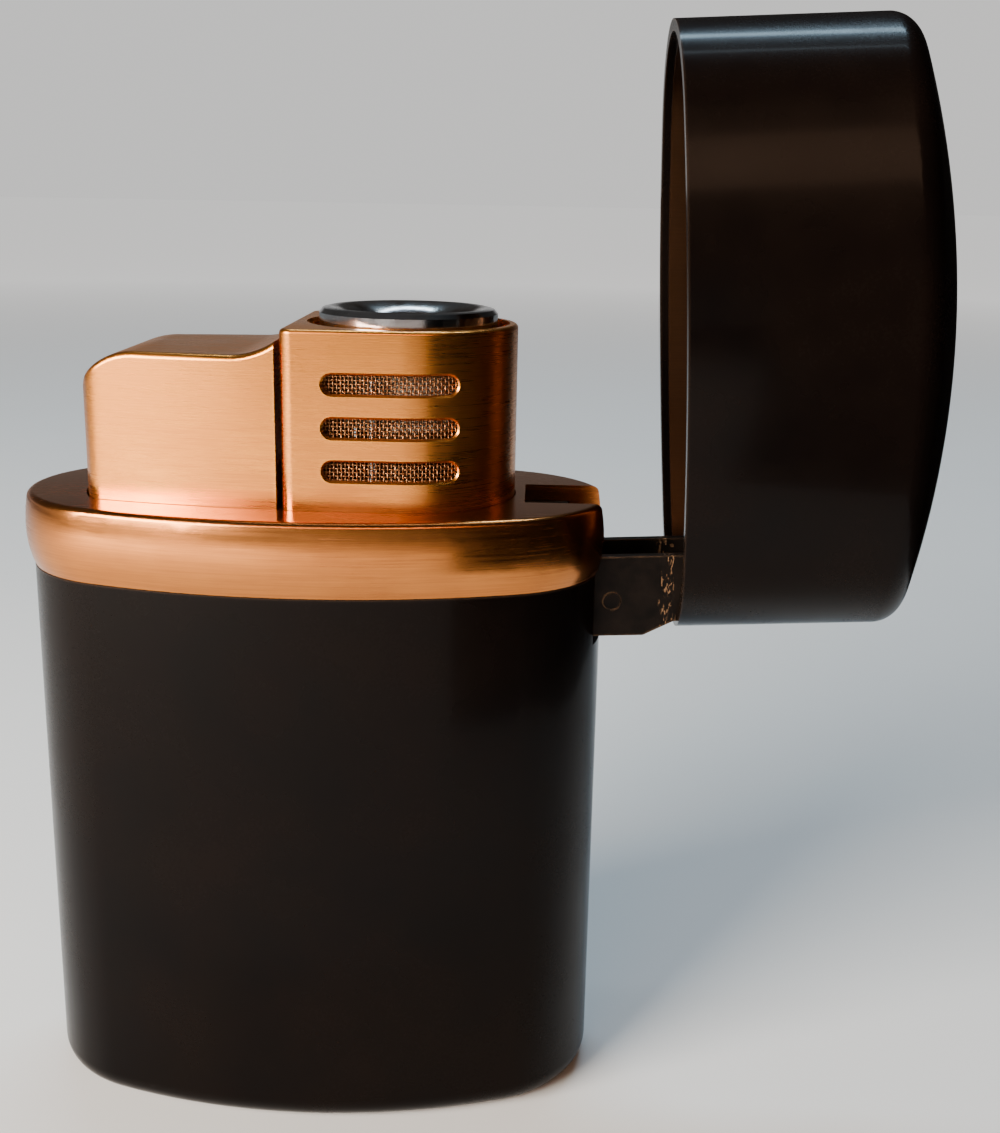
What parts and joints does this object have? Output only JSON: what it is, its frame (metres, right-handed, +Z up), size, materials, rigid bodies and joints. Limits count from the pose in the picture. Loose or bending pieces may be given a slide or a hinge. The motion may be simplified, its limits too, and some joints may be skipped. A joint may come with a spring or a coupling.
{
  "type": "lighter",
  "caption": "Oval flip-top jet lighter with a lacquered shell, copper collar, press button and vented burner cover, lid open.",
  "frame": {"origin": "centre of the flat base the lighter stands on", "axes": "+Z up, +X towards the hinge, -Y the front of the lighter"},
  "size_m": [0.0655, 0.023, 0.0788],
  "materials": {
    "lacquer": "satin brown-black lacquer",
    "copper": "brushed antique copper plate",
    "liner_copper": "satin copper plate",
    "screen": "fine woven wire",
    "chrome": "bright chrome",
    "black_steel": "black paint, worn at the edges",
    "dark_plastic": "moulded satin",
    "tank_plastic": "moulded natural",
    "steel": "plain",
    "brass": "turned",
    "ceramic": "glazed ceramic",
    "piezo_plastic": "moulded",
    "rubber": "plain"
  },
  "bodies": {
    "body": {"air_screen": "screen", "base_cap": "dark_plastic", "base_screws": "steel", "body_shell": "lacquer", "burner_body": "brass", "burner_cover": "copper", "burner_cup": "chrome", "chassis": "dark_plastic", "collar": "copper", "electrode": "steel", "fill_valve_body": "brass", "fill_valve_seal": "rubber", "fill_valve_spring": "steel", "flame_coil": "steel", "flame_plate": "steel", "fuel_tank": "tank_plastic", "gas_valve_body": "brass", "gas_valve_seal": "rubber", "gas_valve_spring": "steel", "ignition_lead": "rubber", "insulator_ring": "ceramic", "leaf_rivet": "steel", "leaf_spring": "steel", "piezo_case": "piezo_plastic", "piezo_spring": "steel", "rocker_pin": "steel", "tank_lid": "tank_plastic"},
    "lid": {"lid_shell": "lacquer", "lid_liner": "liner_copper", "hinge_bracket": "black_steel", "hinge_pin": "black_steel", "bracket_spacer": "black_steel"},
    "button": {"button": "copper", "piezo_plunger": "piezo_plastic"},
    "rocker": {"valve_rocker": "steel"},
    "gas_valve": {"gas_valve_stem": "brass"},
    "adjuster": {"flame_adjuster": "brass"},
    "fill_valve": {"fill_valve_stem": "brass"}
  },
  "joints": [
    {"name": "lid_hinge", "type": "hinge", "parent": "body", "child": "lid", "pos_m": [0.01855, 0, 0.0382], "axis": [0, -1, 0], "range_deg": [0, 87.2], "deforming": ["leaf_spring"]},
    {"name": "button_press", "type": "slide", "parent": "body", "child": "button", "axis": [0, 0, -1], "range_m": [0, 0.003], "stiffness_N_per_m": 800, "springref_m": -0.002, "deforming": ["piezo_spring"]},
    {"name": "rocker_tilt", "type": "hinge", "parent": "body", "child": "rocker", "pos_m": [0.0035, 0, 0.033], "axis": [0, -1, 0], "range_deg": [0, 20.5]},
    {"name": "gas_valve_lift", "type": "slide", "parent": "body", "child": "gas_valve", "axis": [0, 0, 1], "range_m": [0, 0.0011], "deforming": ["gas_valve_spring"]},
    {"name": "adjuster_turn", "type": "hinge", "parent": "body", "child": "adjuster", "pos_m": [0.0065, 0, 0.001], "axis": [0, 0, -1], "range_deg": [-90, 90]},
    {"name": "fill_valve_press", "type": "slide", "parent": "body", "child": "fill_valve", "axis": [0, 0, 1], "range_m": [0, 0.0008], "stiffness_N_per_m": 300, "springref_m": -0.0008, "deforming": ["fill_valve_spring"]}
  ],
  "couplings": [
    {"joint": "rocker_tilt", "follows": "button_press", "rad_per_m": 117.65},
    {"joint": "gas_valve_lift", "follows": "button_press", "ratio": 0.35294}
  ]
}
